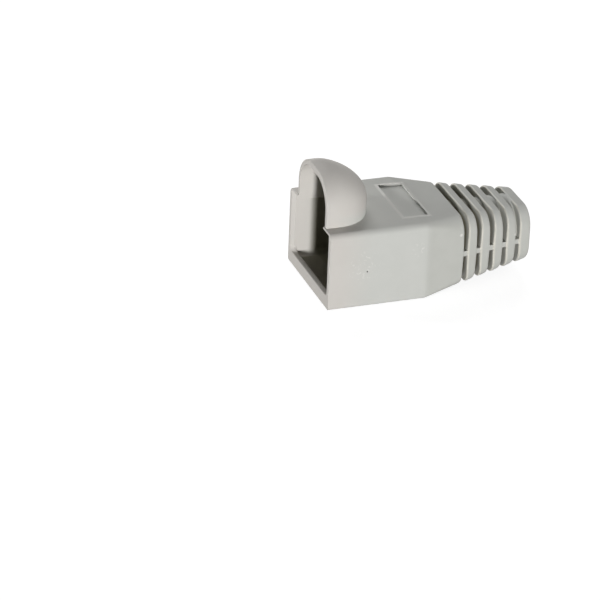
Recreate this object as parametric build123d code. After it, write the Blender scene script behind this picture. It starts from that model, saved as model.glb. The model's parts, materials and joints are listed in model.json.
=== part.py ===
"""Strain relief boot for an eight-way modular plug, moulded in one piece of soft PVC.

The boot lies along X, with the mouth for the plug at the low end and the cable's tail at the high end.
It stands on its flat bottom at Z = 0, and both sides of the XZ plane are alike. Sizes are millimetres,
and places along the boot are distances from the mouth.
"""
import math
import os

from build123d import *

# The plug and the cable that the boot is made for
plug_width = 11.68
plug_height = 6.60
plug_side_gap = 0.16
plug_height_gap = 0.40
cable_diameter = 6.0
cable_gap = 0.3

# Walls round the plug. The mouth has a lip along its floor, and a lead-in bevel on its other three sides.
side_wall = 1.0
floor_wall = 0.9
roof_wall = 0.6
back_wall = 0.5
lip_height = 0.6
lip_thickness = 0.72
lead_in = 0.4
floor_corner_radius = 0.8

# Outer form: a straight box behind the mouth, then one taper on all four sides to the cable end
straight_length = 12.0
shoulder_length = 5.0
end_width = 8.4
end_height = 7.0
top_edge_radius = 0.8
bottom_edge_radius = 0.3
tail_top_radius = 1.9
tail_bottom_radius = 1.3
end_radius = 2.3

# Bending tail: a plain tube carries rings, and a web along each side ties the rings together.
# The mould parts at the webs, so the slots widen from there to the top and to the bottom.
tube_wall = 0.3
slot_count = 5
slot_width = 0.42
slot_pitch = 1.76
slot_draft = 1.8
sleeve_length = 1.54
ring_bevel = 0.15
end_bevel = 0.25
parting_drop = 0.2
web_height = 0.65
web_inset = 0.08

# Latch hood: a thin dome over a window in the roof, open towards the mouth
hood_width = 10.0
hood_depth = 6.5
hood_height = 5.68
hood_corner_radius = 3.85
hood_foot_straight = 1.8
hood_top_straight = 1.0
hood_rear_height = 1.7
hood_wall = 0.6
hood_setback = 0.2
hood_lip_radius = 0.2
hood_section_angles = (0, 12, 25, 38, 50, 62, 73, 83)

# Shallow label recess in the roof
recess_before_taper = 2.1
recess_length = 2.95
recess_width = 8.8
recess_depth = 0.25

# Worked out from the sizes above
socket_width = plug_width + 2 * plug_side_gap
mouth_height = plug_height + 2 * plug_height_gap
socket_height = lip_height + mouth_height
socket_centre_height = floor_wall + socket_height / 2
body_width = socket_width + 2 * side_wall
body_height = floor_wall + socket_height + roof_wall
axis_height = body_height / 2
parting_height = axis_height - parting_drop
bore_radius = cable_diameter / 2 + cable_gap
tube_radius = bore_radius + tube_wall
tail_start = straight_length + shoulder_length
sleeve_start = tail_start + (slot_count - 1) * slot_pitch + slot_width
length = sleeve_start + sleeve_length
mouth_x = -length / 2


def share_of_taper(place):
    """How far along the taper a place lies, from 0 at its start to 1 at the cable end."""
    return max(0.0, (place - straight_length) / (length - straight_length))


def width_at(place):
    return body_width + share_of_taper(place) * (end_width - body_width)


def height_at(place):
    return body_height + share_of_taper(place) * (end_height - body_height)


def corner_radius_at(place, side):
    """Corner radius of the outline above (side 1) or below (side -1), which grows along the taper."""
    box_radius = top_edge_radius if side > 0 else bottom_edge_radius
    tail_radius = tail_top_radius if side > 0 else tail_bottom_radius
    if place < tail_start:
        share = max(0.0, (place - straight_length) / (tail_start - straight_length))
        return box_radius + share * (tail_radius - box_radius)
    share = (place - tail_start) / (length - tail_start)
    return tail_radius + share * (end_radius - tail_radius)


def cross_plane(place, height=axis_height, lean=0.0):
    """A plane across the boot, with its own X along Y and its own Y along Z, or leaning to the tail."""
    angle = math.radians(lean)
    normal = (math.cos(angle), 0, -math.sin(angle))
    return Plane(origin=(mouth_x + place, 0, height), x_dir=(0, 1, 0), z_dir=normal)


def half_section(place, side, inset, lean):
    """The outline above (side 1) or below (side -1) the parting plane, drawn in by an inset."""
    half_height = height_at(place) / 2 + side * (axis_height - parting_height) - inset
    outline = Pos(0, side * half_height / 2) * Rectangle(width_at(place) - 2 * inset, half_height)
    corners = outline.vertices().sort_by(Axis.Y)
    outer_corners = corners[-2:] if side > 0 else corners[:2]
    outline = fillet(outer_corners, corner_radius_at(place, side) - inset)
    return cross_plane(place, parting_height, side * lean) * outline


def moulded(stations):
    """A length of the outer form through stations of place, inset and lean, from both halves of the mould."""
    halves = []
    for side in (1, -1):
        sections = [half_section(place, side, inset, lean) for place, inset, lean in stations]
        halves.append(loft(sections, ruled=True))
    return halves[0] + halves[1]


def front_shell():
    """The straight box behind the mouth and the tapering shoulder, still solid inside."""
    return moulded(
        [
            (0, 0, 0),
            (straight_length, 0, 0),
            (tail_start - ring_bevel, 0, -slot_draft),
            (tail_start, ring_bevel, -slot_draft),
        ]
    )


def tail_ring(start, end):
    """One ring of the tail, with its two outer edges bevelled."""
    return moulded(
        [
            (start, ring_bevel, slot_draft),
            (start + ring_bevel, 0, slot_draft),
            (end - ring_bevel, 0, -slot_draft),
            (end, ring_bevel, -slot_draft),
        ]
    )


def end_sleeve():
    """The longer last ring, square at the cable end."""
    return moulded(
        [
            (sleeve_start, ring_bevel, slot_draft),
            (sleeve_start + ring_bevel, 0, slot_draft),
            (length - end_bevel, 0, 0),
            (length, end_bevel, 0),
        ]
    )


def tail():
    """The tube with its rings and its sleeve, and the web along both sides."""
    root = tail_start - back_wall
    tube = extrude(cross_plane(root) * Circle(tube_radius), sleeve_start + ring_bevel - root)
    result = tube + end_sleeve()
    for slot in range(slot_count - 1):
        slot_start = tail_start + slot * slot_pitch
        result += tail_ring(slot_start + slot_width, slot_start + slot_pitch)
    web_end = sleeve_start + sleeve_length / 2
    root_side = width_at(root) / 2 - web_inset
    end_side = width_at(web_end) / 2 - web_inset
    outline = Polyline(
        (mouth_x + root, -root_side),
        (mouth_x + web_end, -end_side),
        (mouth_x + web_end, end_side),
        (mouth_x + root, root_side),
        close=True,
    )
    web = extrude(Pos(0, 0, parting_height) * make_face(outline), web_height / 2, both=True)
    return result + web


def hood_section(height, straight, reach, span):
    """Straight sides with a half-ellipse behind them, drawn past the mouth, where the hood is trimmed."""
    centre_x = mouth_x + straight
    forward = -straight - hood_wall
    with BuildSketch(Plane((centre_x, 0, height))) as section:
        with BuildLine():
            back = EllipticalCenterArc((0, 0), reach, span, start_angle=-90, arc_size=180)
            Polyline(back @ 1, (forward, span), (forward, -span), back @ 0)
        make_face()
    return section.sketch


def hood_form(inset):
    """The hood's outer form, or with the wall as inset the space inside it, down through the roof."""
    half_width = hood_width / 2 - inset
    depth = hood_depth - inset
    height = hood_height - inset
    corner_radius = hood_corner_radius - inset
    sections = []
    for angle in hood_section_angles:
        foot_share = math.cos(math.radians(angle))
        rise = hood_rear_height + (height - hood_rear_height) * math.sin(math.radians(angle))
        above_corner = max(0.0, rise - (height - corner_radius))
        span = half_width - corner_radius + math.sqrt(corner_radius**2 - above_corner**2)
        straight = hood_top_straight + foot_share * (hood_foot_straight - hood_top_straight)
        reach = foot_share * (depth - hood_foot_straight)
        sections.append(hood_section(body_height + rise, straight, reach, span))
    foot_depth = roof_wall / 2 + 2 * inset
    foot = hood_section(body_height - foot_depth, hood_foot_straight, depth - hood_foot_straight, half_width)
    return extrude(foot, foot_depth + hood_rear_height, dir=(0, 0, 1)) + loft(sections)


def hood():
    """The hood as a thin shell, trimmed flat a little behind the mouth, with a rounded outer lip."""
    front = Plane(origin=(mouth_x + hood_setback, 0, 0), z_dir=(1, 0, 0))
    whole = split(hood_form(0), bisect_by=front, keep=Keep.TOP)
    lip = whole.faces().sort_by(Axis.X)[0].edges().sort_by(Axis.Z)[1:]
    return fillet(lip, hood_lip_radius)


def socket_section(place, width, height):
    """Section of the space for the plug, rounded where the walls meet the floor."""
    outline = Rectangle(width, height)
    floor_corners = outline.vertices().sort_by(Axis.Y)[:2]
    return cross_plane(place, socket_centre_height) * fillet(floor_corners, floor_corner_radius)


def mouth_opening():
    """The opening above the lip, bevelled at the sides and along the roof."""
    lip_top = floor_wall + lip_height
    outer = Rectangle(socket_width + 2 * lead_in, mouth_height + lead_in, align=(Align.CENTER, Align.MIN))
    inner = Rectangle(socket_width, mouth_height, align=(Align.CENTER, Align.MIN))
    throat = cross_plane(lead_in, lip_top) * inner
    bevel = loft([cross_plane(0, lip_top) * outer, throat], ruled=True)
    return bevel + extrude(throat, lip_thickness)


def socket():
    """The space for the plug: the mouth, a straight run behind the lip, and a funnel along the outer taper."""
    inner_end = tail_start - back_wall
    front = socket_section(lip_thickness, socket_width, socket_height)
    funnel_front = socket_section(straight_length, socket_width, socket_height)
    funnel_rear = socket_section(
        inner_end,
        width_at(inner_end) - 2 * side_wall,
        height_at(inner_end) - floor_wall - roof_wall,
    )
    straight = extrude(front, straight_length - lip_thickness)
    return mouth_opening() + straight + loft([funnel_front, funnel_rear], ruled=True)


def cable_bore():
    return extrude(cross_plane(tail_start - 2 * back_wall) * Circle(bore_radius), length)


def label_recess():
    centre_x = mouth_x + straight_length - recess_before_taper + recess_length / 2
    return Pos(centre_x, 0, body_height) * Box(recess_length, recess_width, 2 * recess_depth)


boot = front_shell() + tail() + hood()
boot = boot - socket() - cable_bore() - hood_form(hood_wall) - label_recess()

os.makedirs("parts", exist_ok=True)
export_step(boot, "parts/strain_relief_boot.step")
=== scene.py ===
"""Strain relief boot for an eight-way modular plug: one moulding in soft grey PVC, on white paper.

It lies along X on its flat bottom, with the mouth for the plug at the low end. Its sizes are millimetres
until the finished mesh is brought to metres, and places along it are distances from the mouth.
"""
import json
import math

import bmesh
import bpy
from mathutils import Matrix, Vector


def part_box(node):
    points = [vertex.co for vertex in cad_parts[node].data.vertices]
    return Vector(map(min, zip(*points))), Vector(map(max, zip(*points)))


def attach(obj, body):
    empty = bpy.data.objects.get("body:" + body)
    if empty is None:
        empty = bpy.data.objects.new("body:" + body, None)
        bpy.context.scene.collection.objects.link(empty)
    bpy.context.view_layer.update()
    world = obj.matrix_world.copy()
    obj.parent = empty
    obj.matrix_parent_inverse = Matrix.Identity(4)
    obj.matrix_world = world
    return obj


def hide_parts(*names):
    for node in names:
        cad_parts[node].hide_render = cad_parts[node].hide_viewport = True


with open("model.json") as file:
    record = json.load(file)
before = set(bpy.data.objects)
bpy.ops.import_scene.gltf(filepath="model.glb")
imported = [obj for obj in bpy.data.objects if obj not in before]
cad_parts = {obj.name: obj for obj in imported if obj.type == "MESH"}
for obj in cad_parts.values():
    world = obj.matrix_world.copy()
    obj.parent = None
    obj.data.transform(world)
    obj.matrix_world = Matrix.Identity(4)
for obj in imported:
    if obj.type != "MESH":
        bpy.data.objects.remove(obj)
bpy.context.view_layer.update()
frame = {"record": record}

# The box that takes the plug, and the shoulder behind it: soft PVC injected round a steel core.
# One outline runs the whole length. Past the crease it tapers on all four sides, and a fine raised
# line is left along both flanks where the two halves of the mould meet.
mm = 0.001
boot_low, boot_high = (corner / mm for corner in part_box("strain_relief_boot"))
mouth_x = boot_low.x
length = boot_high.x - boot_low.x
body_width = boot_high.y - boot_low.y
body_height = 9.5
axis_height = body_height / 2
end_width = 8.4
end_height = 7.0
crease = 12.0
crease_round = 0.15
tail_start = 17.0
mouth_round = 0.1
ring_round = 0.22
slot_draft = math.tan(math.radians(1.8))
top_radius = (0.8, 1.9, 2.3)
bottom_radius = (0.3, 1.3, 2.3)
corner_segments = 8
round_segments = 4
quarter_turn = [math.radians(90 * step / round_segments) for step in range(round_segments + 1)]
parting_height = 4.55
parting_bead = 0.02
parting_bead_width = 0.14


def between(place, values):
    """A size that is given at the crease, at the tail's start and at the cable end."""
    if place < tail_start:
        share = max(0.0, (place - crease) / (tail_start - crease))
        return values[0] + share * (values[1] - values[0])
    share = (place - tail_start) / (length - tail_start)
    return values[1] + share * (values[2] - values[1])


def taper(place, full, end):
    """A width or height that shrinks evenly from the crease to the cable end."""
    return full + max(0.0, (place - crease) / (length - crease)) * (end - full)


def rounded_loop(bm, place, corners):
    """Points of a closed edge loop across the boot, through corners of Y, Z and a radius."""
    points = [bm.verts.new((mouth_x + place, y, z)) for y, z, radius in corners]
    bm.faces.new(points)
    kept = []
    for point, (y, z, radius) in zip(points, corners):
        if radius == 0:
            kept.append(point)
            continue
        arc = bmesh.ops.bevel(
            bm, geom=[point], offset=radius, affect="VERTICES",
            segments=corner_segments, profile=0.5, material=-1,
        )
        kept += arc["verts"]
    outline_face = list(dict.fromkeys(face for point in kept for face in point.link_faces))
    bmesh.ops.delete(bm, geom=outline_face, context="FACES_ONLY")
    return kept


def outline(bm, place, inset=0.0, lean=0.0):
    """Points of the outer form's outline, drawn in by an inset and leaning away from the parting line."""
    side = taper(place, body_width, end_width) / 2 - inset
    half = taper(place, body_height, end_height) / 2 - inset
    bead_half = parting_bead_width / 2
    flank = [(-bead_half, 0.0), (0.0, parting_bead), (bead_half, 0.0)]
    low, high = axis_height - half, axis_height + half
    low_round = between(place, bottom_radius) - inset
    high_round = between(place, top_radius) - inset
    corners = [(-side, low, low_round), (side, low, low_round)]
    corners += [(side + out, parting_height + z, 0) for z, out in flank]
    corners += [(side, high, high_round), (-side, high, high_round)]
    corners += [(-side - out, parting_height + z, 0) for z, out in reversed(flank)]
    points = rounded_loop(bm, place, corners)
    for point in points:
        point.co.x += lean * abs(point.co.z - parting_height)
    return points


def closed_skin(bm, loops):
    """A closed skin through a row of edge loops."""
    edges = [list(dict.fromkeys(edge for point in loop for edge in point.link_edges)) for loop in loops]
    for near, far in zip(edges, edges[1:]):
        bmesh.ops.bridge_loops(bm, edges=near + far)
    for end in (edges[0], edges[-1]):
        bmesh.ops.edgeloop_fill(bm, edges=end)
    bmesh.ops.recalc_face_normals(bm, faces=bm.faces)


def halve_ends(bm, loops):
    """Splits both end faces along the parting line, where they bend."""
    for loop in (loops[0], loops[-1]):
        on_line = [point for point in loop if abs(point.co.z - parting_height) < parting_bead_width / 4]
        bmesh.ops.connect_verts(bm, verts=on_line)


def rounded_edge(bm, place, radius, facing, lean=0.0):
    """Outlines of a rounded edge that faces the mouth (-1) or the cable end (1)."""
    row = [
        outline(bm, place - facing * radius * (1 - math.cos(turn)), radius * (1 - math.sin(turn)), lean)
        for turn in quarter_turn
    ]
    return row if facing < 0 else row[::-1]


def as_object(bm, name):
    """An object of what has been drawn."""
    mesh = bpy.data.meshes.new(name)
    bm.to_mesh(mesh)
    bm.free()
    made = bpy.data.objects.new(name, mesh)
    bpy.context.scene.collection.objects.link(made)
    return made


bm = bmesh.new()
stations = rounded_edge(bm, 0, mouth_round, -1)
stations += [outline(bm, crease + shift) for shift in (-crease_round, 0, crease_round)]
stations += rounded_edge(bm, tail_start, ring_round, 1, -slot_draft)
closed_skin(bm, stations)
halve_ends(bm, stations)
shell = as_object(bm, "shell")

# The bending tail: a plain tube carries four rings and an end sleeve, and a web along each side ties
# them together. The slots widen from the parting line to the top and to the bottom, as the mould opens.
slot_count = 5
slot_width = 0.42
slot_pitch = 1.76
sleeve_start = tail_start + (slot_count - 1) * slot_pitch + slot_width
sleeve_round = 0.28
tube_radius = 3.6
tube_overlap = 0.6
tube_root = tail_start - tube_overlap
tube_segments = 96
web_end = (sleeve_start + length) / 2
web_height = 0.65
web_inset = 0.08
web_round = 0.08
web_round_segments = 3


def round_bar(name, start, end, radius):
    """A round bar along the boot's axis, between two places."""
    bm = bmesh.new()
    middle = Matrix.Translation((mouth_x + (start + end) / 2, 0, axis_height))
    lying = Matrix.Rotation(math.pi / 2, 4, "Y")
    bmesh.ops.create_cone(
        bm, cap_ends=True, segments=tube_segments, radius1=radius, radius2=radius, depth=end - start,
        matrix=middle @ lying,
    )
    return as_object(bm, name)


tail_solids = []
for slot in range(slot_count):
    ring_start = tail_start + slot * slot_pitch + slot_width
    last = slot == slot_count - 1
    bm = bmesh.new()
    stations = rounded_edge(bm, ring_start, ring_round, -1, slot_draft)
    if last:
        stations += rounded_edge(bm, length, sleeve_round, 1)
    else:
        stations += rounded_edge(bm, tail_start + (slot + 1) * slot_pitch, ring_round, 1, -slot_draft)
    closed_skin(bm, stations)
    halve_ends(bm, stations)
    tail_solids.append(as_object(bm, f"ring_{slot}"))
tail_solids.append(round_bar("tube", tube_root, sleeve_start + ring_round, tube_radius))

bm = bmesh.new()
for point in bmesh.ops.create_cube(bm, size=1)["verts"]:
    place = tube_root if point.co.x < 0 else web_end
    reach = taper(place, body_width, end_width) - 2 * web_inset
    point.co = (mouth_x + place, point.co.y * reach, parting_height + point.co.z * web_height)
long_edges = [edge for edge in bm.edges if abs(edge.verts[0].co.x - edge.verts[1].co.x) > web_height]
bmesh.ops.bevel(
    bm, geom=long_edges, offset=web_round, affect="EDGES",
    segments=web_round_segments, profile=0.5, material=-1,
)
tail_solids.append(as_object(bm, "web"))

# The latch hood: a thin dome moulded on the roof, which keeps the plug's latch from catching.
# It stands on straight feet beside the mouth, is squarer than a ball in plan, and has a rounded lip.
hood_width = 10.0
hood_depth = 6.5
hood_height = boot_high.z - body_height
hood_corner_radius = 3.85
hood_foot_straight = 1.8
hood_top_straight = 1.0
hood_rear_height = 1.7
hood_wall = 0.6
hood_setback = 0.2
hood_lip_radius = 0.2
hood_lip_segments = 5
hood_levels = 20
hood_last_angle = 88
hood_segments = 96
hood_overrun = 3.0
hood_embed = 0.3
hair = 1e-4


def dome(inset, foot_depth):
    """The hood's outer form, or with the wall as inset the space inside it, run out past the mouth."""
    half_width = hood_width / 2 - inset
    depth = hood_depth - inset
    height = hood_height - inset
    corner_radius = hood_corner_radius - inset
    bm = bmesh.new()
    loops = []
    for level in range(-1, hood_levels + 1):
        angle = math.radians(hood_last_angle * max(0, level) / hood_levels)
        rise = hood_rear_height + (height - hood_rear_height) * math.sin(angle)
        above_corner = max(0.0, rise - (height - corner_radius))
        span = half_width - corner_radius + math.sqrt(corner_radius ** 2 - above_corner ** 2)
        straight = hood_top_straight + math.cos(angle) * (hood_foot_straight - hood_top_straight)
        reach = math.cos(angle) * (depth - hood_foot_straight)
        if level < 0:
            rise = -foot_depth
        loop = bmesh.ops.create_circle(bm, cap_ends=False, radius=1, segments=hood_segments)["verts"]
        bmesh.ops.scale(bm, vec=(reach, span, 1), verts=loop)
        front = [point for point in loop if point.co.x < -hair]
        bmesh.ops.translate(bm, vec=(-hood_overrun, 0, 0), verts=front)
        bmesh.ops.translate(bm, vec=(mouth_x + straight, 0, body_height + rise), verts=loop)
        loops.append(loop)
    closed_skin(bm, loops)
    return bm


bm = dome(0, hood_embed)
bmesh.ops.bisect_plane(
    bm, geom=bm.verts[:] + bm.edges[:] + bm.faces[:],
    plane_co=(mouth_x + hood_setback, 0, 0), plane_no=(-1, 0, 0), clear_outer=True,
)
rim = [edge for edge in bm.edges if edge.is_boundary]
bmesh.ops.edgeloop_fill(bm, edges=rim)
bmesh.ops.recalc_face_normals(bm, faces=bm.faces)
hood_lip = [edge for edge in rim if max(point.co.z for point in edge.verts) > body_height]
bmesh.ops.bevel(
    bm, geom=hood_lip, offset=hood_lip_radius, affect="EDGES",
    segments=hood_lip_segments, profile=0.5, material=-1,
)
hood = as_object(bm, "hood")

# The hollow inside, as the mould's core leaves it: a bevelled mouth over a lip, the socket for the plug
# with rounded floor corners, a funnel behind it, the bore for the cable, and the window under the hood.
socket_width = 12.0
side_wall = 1.0
floor_wall = 0.9
roof_wall = 0.6
back_wall = 0.5
lip_top = 1.5
lip_thickness = 0.72
lip_round = 0.12
lip_step = 0.01
mouth_corner = 0.7
lead_in = 0.4
floor_radius = 0.8
roof_radius = 0.15
overrun = 0.5
socket_roof = body_height - roof_wall
socket_centre = (floor_wall + socket_roof) / 2
funnel_end = tail_start - back_wall
funnel_width = taper(funnel_end, body_width, end_width) - 2 * side_wall
funnel_height = taper(funnel_end, body_height, end_height) - floor_wall - roof_wall
funnel_floor = socket_centre - funnel_height / 2
funnel_roof = socket_centre + funnel_height / 2
bore_radius = frame["record"]["mounts"][0]["dims"]["r_mm"]


def opening(bm, place, width, low, high, low_radius):
    """Points of a loop across the space inside, with one radius at the floor and one at the roof."""
    corners = [(-width / 2, low, low_radius), (width / 2, low, low_radius)]
    corners += [(width / 2, high, roof_radius), (-width / 2, high, roof_radius)]
    return rounded_loop(bm, place, corners)


bm = bmesh.new()
lip_front = [(-overrun, lip_top - lip_round)]
for turn in quarter_turn:
    lip_front.append((lip_round * (1 - math.cos(turn)), lip_top - lip_round * (1 - math.sin(turn))))
lip_front += [(lead_in, lip_top), (lip_thickness, lip_top)]
loops = []
for place, low in lip_front:
    spread = max(0.0, lead_in - place)
    loops.append(opening(bm, place, socket_width + 2 * spread, low, socket_roof + spread, mouth_corner))
closed_skin(bm, loops)
mouth = as_object(bm, "mouth")

bm = bmesh.new()
loops = []
for turn in quarter_turn:
    place = lip_thickness - lip_round * (1 - math.sin(turn))
    low = lip_top - lip_round * (1 - math.cos(turn))
    loops.append(opening(bm, place, socket_width, low, socket_roof, mouth_corner))
for place in (lip_thickness + lip_step, crease):
    loops.append(opening(bm, place, socket_width, floor_wall, socket_roof, floor_radius))
loops.append(opening(bm, funnel_end, funnel_width, funnel_floor, funnel_roof, floor_radius))
closed_skin(bm, loops)
socket = as_object(bm, "socket")

bore = round_bar("bore", funnel_end - overrun, length + overrun, bore_radius)
window = as_object(dome(hood_wall, hood_embed + 2 * hood_wall), "window")

# The label recess: an insert in the mould leaves a shallow sunk field in the roof, with a low witness
# bead round it where the plastic crept into the insert's joint.
recess_start = 9.9
recess_length = 2.95
recess_width = 8.8
recess_depth = 0.25
recess_draft = 0.03
recess_middle = mouth_x + recess_start + recess_length / 2
bead_width = 0.45
bead_height = 0.055
bead_embed = 0.02
bead_top = 0.08

bm = bmesh.new()
for point in bmesh.ops.create_cube(bm, size=1)["verts"]:
    upper = point.co.z > 0
    grow = recess_draft if upper else -recess_draft
    point.co.x = recess_middle + point.co.x * (recess_length + 2 * grow)
    point.co.y *= recess_width + 2 * grow
    point.co.z = body_height + (recess_depth if upper else -recess_depth)
recess = as_object(bm, "recess")

bm = bmesh.new()
for point in bmesh.ops.create_cube(bm, size=1)["verts"]:
    grow = bead_top if point.co.z > 0 else bead_width
    point.co.x = recess_middle + point.co.x * (recess_length + 2 * grow)
    point.co.y *= recess_width + 2 * grow
bmesh.ops.bisect_plane(
    bm, geom=bm.verts[:] + bm.edges[:] + bm.faces[:],
    plane_co=(mouth_x + crease, 0, 0), plane_no=(1, 0, 0),
)
for point in bm.verts:
    roof = axis_height + taper(point.co.x - mouth_x, body_height, end_height) / 2
    point.co.z = roof + (bead_height if point.co.z > 0 else -bead_embed)
bead = as_object(bm, "bead")

# The whole moulding in one skin: the tail, the hood and the bead grow out of the shell, and what the
# mould's core and insert leave open is cut away. Smooth forms run on, and only real edges stay sharp.
sharp_angle = math.radians(32)
sliver = 0.0005
bead_angle = math.radians(3)
bead_spare = 0.02
inward = -0.3
roof_spare = 0.1

added = [*tail_solids, hood, bead]
cut_away = [mouth, socket, bore, window, recess]
for operation, operands in (("UNION", added), ("DIFFERENCE", cut_away)):
    for operand in operands:
        step = shell.modifiers.new(operand.name, "BOOLEAN")
        step.operation = operation
        step.solver = "MANIFOLD"
        step.object = operand
moulding = bpy.data.meshes.new_from_object(shell.evaluated_get(bpy.context.evaluated_depsgraph_get()))
for operand in [shell, *added, *cut_away]:
    bpy.data.objects.remove(operand)
moulding.transform(Matrix.Scale(mm, 4))
moulding.name = "boot"
boot = bpy.data.objects.new("boot", moulding)
bpy.context.scene.collection.objects.link(boot)
moulding.shade_smooth()
moulding.set_sharp_from_angle(angle=sharp_angle)

# A sliver left by the cuts is closed up, and the bead is so low that its edges are kept sharp here
bm = bmesh.new()
bm.from_mesh(moulding)
bmesh.ops.dissolve_degenerate(bm, edges=bm.edges, dist=sliver * mm)
bead_reach_x = recess_length / 2 + bead_width + bead_spare
bead_reach_y = recess_width / 2 + bead_width + bead_spare
for edge in bm.edges:
    middle = (edge.verts[0].co + edge.verts[1].co) / 2 / mm
    beside_recess = abs(middle.x - recess_middle) < bead_reach_x and abs(middle.y) < bead_reach_y
    near_roof = middle.z > body_height - 2 * recess_depth
    if beside_recess and near_roof and edge.calc_face_angle(0) > bead_angle:
        edge.smooth = False

# The faces of the inside, which look towards the middle of the mouth, are marked for the painted shade in
# the material
inner_faces = bm.faces.layers.float.new("inner")
mouth_middle = Vector((mouth_x, 0, socket_centre))
for face in bm.faces:
    centre = face.calc_center_median() / mm
    turned_in = face.normal.dot(centre - mouth_middle) < inward
    under_roof = centre.z < socket_roof + roof_spare
    under_hood = centre.x - mouth_x < hood_depth
    face[inner_faces] = 1.0 if turned_in and (under_roof or under_hood) else 0.0
bm.to_mesh(moulding)
bm.free()
even = boot.modifiers.new("even_normals", "WEIGHTED_NORMAL")
even.keep_sharp = True

# Soft PVC in light grey, satin from a fine spark-eroded mould: warmer at the mouth and on the hood, and
# faintly cloudy from mixing.
# Painted shade darkens the flanks past the crease, the slots and the inside, and painted highlights make
# the rings' edges and the recess bead paler. On the near flank it has a few pale flecks and one black
# speck of burnt plastic.
warm_grey = (0.595, 0.570, 0.535, 1)
cool_grey = (0.565, 0.571, 0.540, 1)
# painted shade for the flanks past the crease, which turn away from the key light
shaded_flank_grey = (0.515, 0.520, 0.485, 1)
# pale tone of the clouds and flecks, also used as the painted highlight on the recess bead
pale_fleck_and_highlight = (0.70, 0.69, 0.66, 1)
# painted highlight for the rings' edges on the mouth's side
edge_highlight_grey = (0.70, 0.675, 0.60, 1)
# painted shade for the slots and the inside behind the mouth, where little light reaches
hollow_shade_grey = (0.225, 0.213, 0.160, 1)
burnt = (0.05, 0.045, 0.04, 1)
pvc_specular = 0.12
cloud_roughness = 0.55
falling = (1.0, 0.0)
mix_colour_sockets = (6, 7)
mix_colour_output = 2

pvc = bpy.data.materials.new("soft_pvc")
pvc.use_nodes = True
tree = pvc.node_tree
pvc_shader = tree.nodes["Principled BSDF"]
pvc_shader.inputs["Specular IOR Level"].default_value = pvc_specular
surface = tree.nodes.new("ShaderNodeTexCoord").outputs["Object"]


def node(kind, links_in=(), **values):
    """A new node in the present tree, with sockets set by name (spaces as _) and links from outputs."""
    made = tree.nodes.new("ShaderNode" + kind)
    for name, value in values.items():
        if hasattr(made, name):
            setattr(made, name, value)
        else:
            made.inputs[name.replace("_", " ")].default_value = value
    for entry, source in links_in:
        tree.links.new(source, made.inputs[entry])
    return made


def noise(features, detail):
    """Cloudy noise from 0 to 1 with features of a given size in millimetres."""
    made = node("TexNoise", [("Vector", surface)], Detail=detail, Roughness=cloud_roughness)
    made.inputs["Scale"].default_value = 1 / (features * mm)
    return made.outputs["Fac"]


def ramp(source, span, levels=(0.0, 1.0), course="SMOOTHSTEP"):
    """A value that runs from one level to another while its source runs over a span."""
    made = node("MapRange", [("Value", source)], interpolation_type=course)
    for entry, value in zip(("From Min", "From Max", "To Min", "To Max"), (*span, *levels)):
        made.inputs[entry].default_value = value
    return made.outputs["Result"]


def reading(operation, first, second=0.0):
    """A value worked out from another one and from a number or a further value."""
    made = node("Math", [(0, first)], operation=operation)
    if isinstance(second, float):
        made.inputs[1].default_value = second
    else:
        tree.links.new(second, made.inputs[1])
    return made.outputs[0]


def shared(*covers):
    """Where several covers all lie, as their product."""
    product = covers[0]
    for cover in covers[1:]:
        product = reading("MULTIPLY", product, cover)
    return product


def blend(amount, first, second):
    """One colour over another, where each is a colour or another node's output."""
    made = node("Mix", [("Factor", amount)], data_type="RGBA")
    for entry, colour in zip(mix_colour_sockets, (first, second)):
        if isinstance(colour, tuple):
            made.inputs[entry].default_value = colour
        else:
            tree.links.new(colour, made.inputs[entry])
    return made.outputs[mix_colour_output]


# Places in millimetres from the mouth and the boot's axis
moved = node("VectorMath", [(0, surface)], operation="SUBTRACT")
moved.inputs[1].default_value = (mouth_x * mm, 0, axis_height * mm)
from_mouth = node("VectorMath", [(0, moved.outputs[0])], operation="SCALE", Scale=1 / mm).outputs[0]
axes = node("SeparateXYZ", [(0, from_mouth)])
along, aside, above = (axes.outputs[axis] for axis in "XYZ")

# Share of the way from the boot's axis to its skin, close to 1 all over the skin itself
squareness = 5.0
half_width = ramp(along, (crease, length), (body_width / 2, end_width / 2), "LINEAR")
half_height = ramp(along, (crease, length), (body_height / 2, end_height / 2), "LINEAR")
sideways = reading("POWER", reading("DIVIDE", reading("ABSOLUTE", aside), half_width), squareness)
upwards = reading("POWER", reading("DIVIDE", reading("ABSOLUTE", above), half_height), squareness)
outwards = reading("POWER", reading("ADD", sideways, upwards), 1 / squareness)

# The plastic's own tones and clouds, with painted shade on the flanks past the crease
flank_along = (11.4, 12.8)
flank_share = (0.5, 0.9)
mouth_warmth = (0.5, 6.0)
hood_warmth = (4.5, 6.5)
cloud_size = 2.5
cloud_detail = 3.0
cloud_span = (0.35, 0.65)
cloud_cover = 0.10
flank_shade = shared(ramp(along, flank_along), ramp(sideways, flank_share))
warmth = reading("MAXIMUM", ramp(along, mouth_warmth, falling), ramp(above, hood_warmth))
clouds = ramp(noise(cloud_size, cloud_detail), cloud_span, (0.0, cloud_cover))
# painted shade: the flanks past the crease are darker, as they turn away from the key light
colour = blend(flank_shade, cool_grey, shaded_flank_grey)
colour = blend(warmth, colour, warm_grey)
colour = blend(clouds, colour, pale_fleck_and_highlight)
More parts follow.
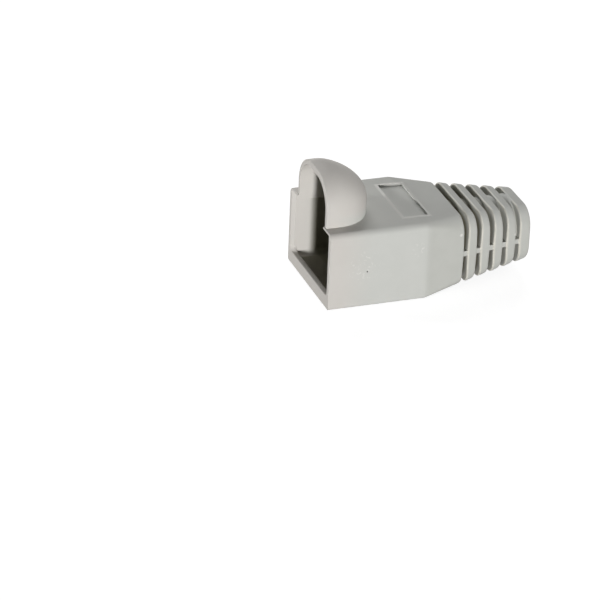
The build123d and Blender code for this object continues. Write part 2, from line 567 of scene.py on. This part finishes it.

# Painted shade darkens the bottoms of the slots, less towards the sleeve, and the inside behind the mouth
slots_begin = (tail_start - 0.05, tail_start + 0.05)
slots_end = (sleeve_start + 0.05, sleeve_start + 0.3)
slot_depth_share = (0.82, 0.965)
slot_fade = (18.0, 24.5)
slot_fade_cover = (1.0, 0.25)
behind_mouth = (1.9, 3.5)
floor_above = (-3.8, -3.5)
floor_along = (0.75, 1.1)
floor_aside = (5.1, 5.5)
floor_cover = 0.85
socket_end = (16.6, 16.9)
slot_shade = shared(
    ramp(along, slots_begin),
    ramp(along, slots_end, falling),
    ramp(outwards, slot_depth_share, falling),
    ramp(along, slot_fade, slot_fade_cover),
)
floor_shade = shared(
    ramp(above, floor_above, falling),
    ramp(along, floor_along, (0.0, floor_cover)),
    ramp(reading("ABSOLUTE", aside), floor_aside, falling),
)
socket_shade = shared(
    reading("MAXIMUM", ramp(along, behind_mouth), floor_shade),
    node("Attribute", attribute_name="inner").outputs["Fac"],
    ramp(along, socket_end, falling),
)
colour = blend(reading("MAXIMUM", slot_shade, socket_shade), colour, hollow_shade_grey)

# A painted highlight makes the rings' edges on the mouth's side paler where they stand proud of the tube
edge_lead = 0.1
edge_begin = (0.02, 0.12)
edge_end = (0.25, 0.5)
edge_share = (0.93, 0.97)
edge_cover = 0.7
first_edge = (17.2, 17.3)
proud_of_tube = (tube_radius + 0.05, tube_radius + 0.3)
past_edge = reading("SUBTRACT", along, tail_start + slot_width - edge_lead)
past_edge = reading("FLOORED_MODULO", past_edge, slot_pitch)
from_axis = reading("ADD", reading("MULTIPLY", aside, aside), reading("MULTIPLY", above, above))
edge_highlight = shared(
    ramp(past_edge, edge_begin),
    ramp(past_edge, edge_end, falling),
    ramp(outwards, edge_share, (0.0, edge_cover)),
    ramp(along, first_edge),
    ramp(reading("SQRT", from_axis), proud_of_tube),
)
colour = blend(edge_highlight, colour, edge_highlight_grey)

# A painted highlight makes the bead round the label recess paler
bead_begin = (0.0, 0.06)
bead_end = (0.25, 0.45)
bead_cover = 0.75
bead_above_roof = (-0.12, -0.06)
past_ends = reading("ABSOLUTE", reading("SUBTRACT", along, recess_start + recess_length / 2))
past_ends = reading("SUBTRACT", past_ends, recess_length / 2)
past_sides = reading("SUBTRACT", reading("ABSOLUTE", aside), recess_width / 2)
past_recess = reading("MAXIMUM", past_ends, past_sides)
bead_highlight = shared(
    ramp(past_recess, bead_begin),
    ramp(past_recess, bead_end, (bead_cover, 0.0)),
    ramp(reading("SUBTRACT", above, half_height), bead_above_roof),
)
colour = blend(bead_highlight, colour, pale_fleck_and_highlight)

# Marks on the near flank, each with its place, its height and the distances over which it fades
fleck_patches = ((4.2, 5.2, (0.8, 2.6)), (10.9, 6.4, (0.3, 1.3)))
fleck_size = 0.32
fleck_detail = 1.0
fleck_span = (0.60, 0.66)
fleck_share = (0.97, 0.99)
fleck_cover = 0.6
pale_dots = ((16.45, 7.15, (0.11, 0.25)), (23.95, 5.6, (0.11, 0.25)))
burnt_speck = (4.66, 4.44, (0.06, 0.13))


def near_mark(place, height, fade):
    """1 on a mark of the near flank, falling to 0 round it."""
    flank_y = -taper(place, body_width, end_width) / 2
    distance = node("VectorMath", [(0, from_mouth)], operation="DISTANCE")
    distance.inputs[1].default_value = (place, flank_y, height - axis_height)
    return ramp(distance.outputs["Value"], fade, falling)


flecks = shared(
    ramp(noise(fleck_size, fleck_detail), fleck_span),
    reading("MAXIMUM", *(near_mark(*patch) for patch in fleck_patches)),
    ramp(outwards, fleck_share, (0.0, fleck_cover)),
)
colour = blend(flecks, colour, pale_fleck_and_highlight)
for dot in pale_dots:
    colour = blend(near_mark(*dot), colour, pale_fleck_and_highlight)
colour = blend(near_mark(*burnt_speck), colour, burnt)
tree.links.new(colour, pvc_shader.inputs["Base Color"])

# Satin surface with a fine grain
satin_size = 1.2
satin_span = (0.3, 0.7)
satin_roughness = (0.66, 0.74)
grain_size = 0.12
grain_strength = 0.25
grain_depth = 0.01
fine_detail = 2.0
satin = ramp(noise(satin_size, fine_detail), satin_span, satin_roughness)
tree.links.new(satin, pvc_shader.inputs["Roughness"])
grain = node("Bump", [("Height", noise(grain_size, fine_detail))], Strength=grain_strength)
grain.inputs["Distance"].default_value = grain_depth * mm
tree.links.new(grain.outputs["Normal"], pvc_shader.inputs["Normal"])
moulding.materials.clear()
moulding.materials.append(pvc)
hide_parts("strain_relief_boot")
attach(boot, "root")

# White paper to stand on. The lamps see it as a grey that throws little light back, and the camera
# sees it as white with a faint shadow. It lies a hair below the boot, so that no two faces share a place.
paper_gap = 0.02 * mm
paper_reach = 2.0
paper_grey = (0.3, 0.3, 0.3, 1)
paper_glow = 0.9
white = (1, 1, 1, 1)


def seen_directly():
    """1 for what the camera sees and what is mirrored, 0 for light that falls on things."""
    light_path = node("LightPath")
    return reading("MAXIMUM", light_path.outputs["Is Camera Ray"], light_path.outputs["Is Glossy Ray"])


bm = bmesh.new()
bmesh.ops.create_grid(
    bm, x_segments=1, y_segments=1, size=paper_reach, matrix=Matrix.Translation((0, 0, -paper_gap)),
)
floor = as_object(bm, "floor")
paper = bpy.data.materials.new("white_paper")
paper.use_nodes = True
tree = paper.node_tree
paper_shader = tree.nodes["Principled BSDF"]
paper_shader.inputs["Base Color"].default_value = paper_grey
paper_shader.inputs["Roughness"].default_value = 1.0
paper_shader.inputs["Specular IOR Level"].default_value = 0.0
paper_shader.inputs["Emission Color"].default_value = white
glow = reading("MULTIPLY", seen_directly(), paper_glow)
tree.links.new(glow, paper_shader.inputs["Emission Strength"])
floor.data.materials.append(paper)

# The white room round the boot. The camera sees it, and it is mirrored, but it lights nothing:
# all the light comes from the lamps.
room = bpy.data.worlds.new("studio")
room.use_nodes = True
tree = room.node_tree
background = tree.nodes["Background"]
background.inputs["Color"].default_value = white
tree.links.new(seen_directly(), background.inputs["Strength"])
bpy.context.scene.world = room

# Studio lamps: a small softbox low in front, a little to the right of the camera, wide ones behind and
# at the tail's end, and a small one low on the mouth's side, from behind, that catches the mouth's rim.
lamp_distance = 0.8


def direction(azimuth, elevation):
    """Unit vector from the boot towards a place round it, as the views are counted."""
    a, e = math.radians(azimuth), math.radians(elevation)
    return Vector((math.sin(a) * math.cos(e), -math.cos(a) * math.cos(e), math.sin(e)))


def softbox(name, azimuth, elevation, level, width, height):
    """An area lamp that gives white paper facing it a set level, its width and height as angles."""
    lamp = bpy.data.objects.new(name, bpy.data.lights.new(name, "AREA"))
    lamp.data.shape = "RECTANGLE"
    lamp.data.size = 2 * lamp_distance * math.tan(math.radians(width / 2))
    lamp.data.size_y = 2 * lamp_distance * math.tan(math.radians(height / 2))
    lamp.data.energy = level * (math.pi * lamp_distance) ** 2
    lamp.location = direction(azimuth, elevation) * lamp_distance
    lamp.rotation_mode = "QUATERNION"
    lamp.rotation_quaternion = direction(azimuth, elevation).to_track_quat("Z", "Y")
    lamp.visible_camera = False
    bpy.context.scene.collection.objects.link(lamp)


softbox("key", azimuth=-13.0, elevation=2.3, level=0.935, width=4.0, height=3.4)
softbox("back_lamp", azimuth=168, elevation=36, level=0.62, width=35, height=35)
softbox("right_lamp", azimuth=88, elevation=36, level=0.23, width=35, height=35)
softbox("left_lamp", azimuth=-118, elevation=9, level=0.55, width=8, height=6)

# Camera at the photograph's angle, with a long lens: from above and from the mouth's side, and turned
# a little on its own axis. Its place was fitted to the boot's edges in the photograph.
aim = Vector((-13.83, 0.0, -1.92)) * mm
camera_azimuth = -20.37
camera_elevation = 27.01
camera_roll = 2.30
camera_distance = 431.4 * mm
camera = bpy.data.objects.new("camera", bpy.data.cameras.new("camera"))
camera.data.lens = 222.27
camera.data.sensor_width = 36.0
camera.data.clip_start = 0.01
camera.data.clip_end = 10.0
back = direction(camera_azimuth, camera_elevation)
roll = Matrix.Rotation(math.radians(camera_roll), 4, "Z").to_quaternion()
camera.location = aim + back * camera_distance
camera.rotation_mode = "QUATERNION"
camera.rotation_quaternion = back.to_track_quat("Z", "Y") @ roll
bpy.context.scene.collection.objects.link(camera)
bpy.context.scene.camera = camera
bpy.context.scene.view_settings.view_transform = "Standard"
